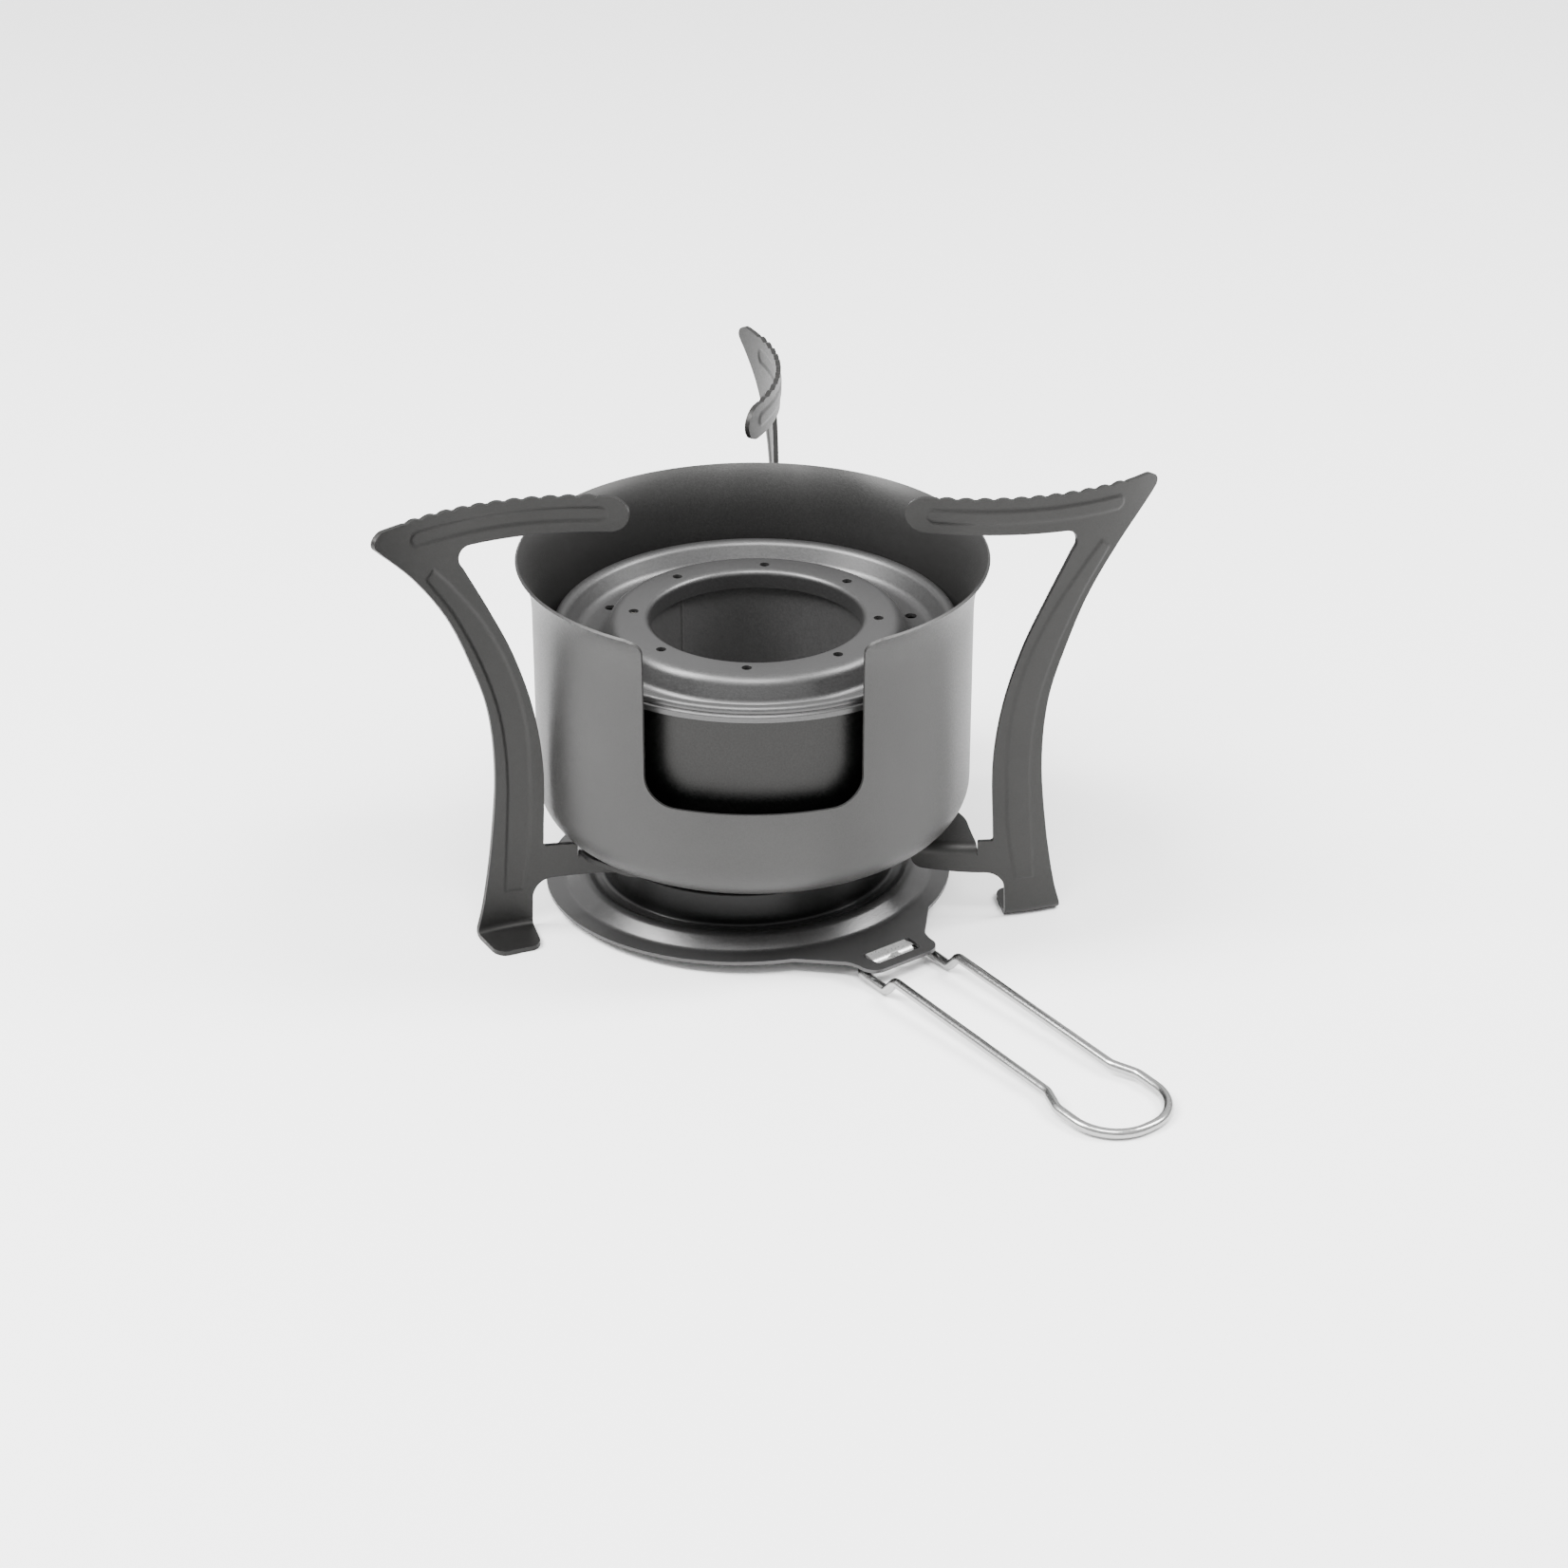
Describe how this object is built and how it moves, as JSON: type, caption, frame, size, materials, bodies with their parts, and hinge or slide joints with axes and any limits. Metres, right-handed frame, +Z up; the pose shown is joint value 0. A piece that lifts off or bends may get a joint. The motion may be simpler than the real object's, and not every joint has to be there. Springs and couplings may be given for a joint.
{
  "type": "spirit burner stove set",
  "caption": "Alcohol burner in a notched metal windscreen cup on swivelling curved legs that hold a pot, with a snuffer lid and wire handle.",
  "frame": {"origin": "on the table under the centre of the bounding box of the set as it stands", "axes": "+Z up; -Y is the side of the windscreen notch; +X to the right seen from the notch"},
  "size_m": [0.144, 0.1714, 0.089],
  "materials": {
    "cup_titanium": "bead blasted",
    "leg_titanium": "bead blasted, darker",
    "burner_titanium": "satin",
    "lid_titanium": "satin",
    "steel": "polished",
    "wick_felt": "felt"
  },
  "bodies": {
    "windscreen": {"windscreen_cup": "cup_titanium", "pivot_rivet_rear": "steel", "leg_washer_rear": "steel", "backing_washer_rear": "steel", "pivot_rivet_left": "steel", "leg_washer_left": "steel", "backing_washer_left": "steel", "pivot_rivet_right": "steel", "leg_washer_right": "steel", "backing_washer_right": "steel"},
    "leg_rear": {"leg_rear": "leg_titanium"},
    "leg_left": {"leg_left": "leg_titanium"},
    "leg_right": {"leg_right": "leg_titanium"},
    "burner": {"burner_body": "burner_titanium", "burner_top_ring": "burner_titanium", "burner_inner_sleeve": "burner_titanium", "burner_wick": "wick_felt"},
    "lid": {"snuffer_lid": "lid_titanium"},
    "lid_handle": {"lid_handle": "steel"}
  },
  "joints": [
    {"name": "leg_rear_swing", "type": "hinge", "parent": "windscreen", "child": "leg_rear", "pos_m": [-0.00965, 0.03737, 0.0157], "axis": [0, 0, 1], "range_deg": [-9, 50]},
    {"name": "leg_left_swing", "type": "hinge", "parent": "windscreen", "child": "leg_left", "pos_m": [-0.02509, -0.01043, 0.0157], "axis": [0, 0, 1], "range_deg": [0, 80]},
    {"name": "leg_right_swing", "type": "hinge", "parent": "windscreen", "child": "leg_right", "pos_m": [0.02403, 0.0001, 0.0157], "axis": [0, 0, 1], "range_deg": [-50, 25]},
    {"name": "burner_lift", "type": "slide", "parent": "windscreen", "child": "burner", "axis": [0, 0, 1], "range_m": [0, 0.018]},
    {"name": "lid_draw", "type": "slide", "parent": "windscreen", "child": "lid", "axis": [0.2079, -0.9781, 0], "range_m": [0, 0.1]},
    {"name": "lid_handle_fold", "type": "hinge", "parent": "lid", "child": "lid_handle", "pos_m": [0.02225, -0.02374, 0.0016], "axis": [-0.8018, -0.5976, 0], "range_deg": [-160, 6]}
  ]
}
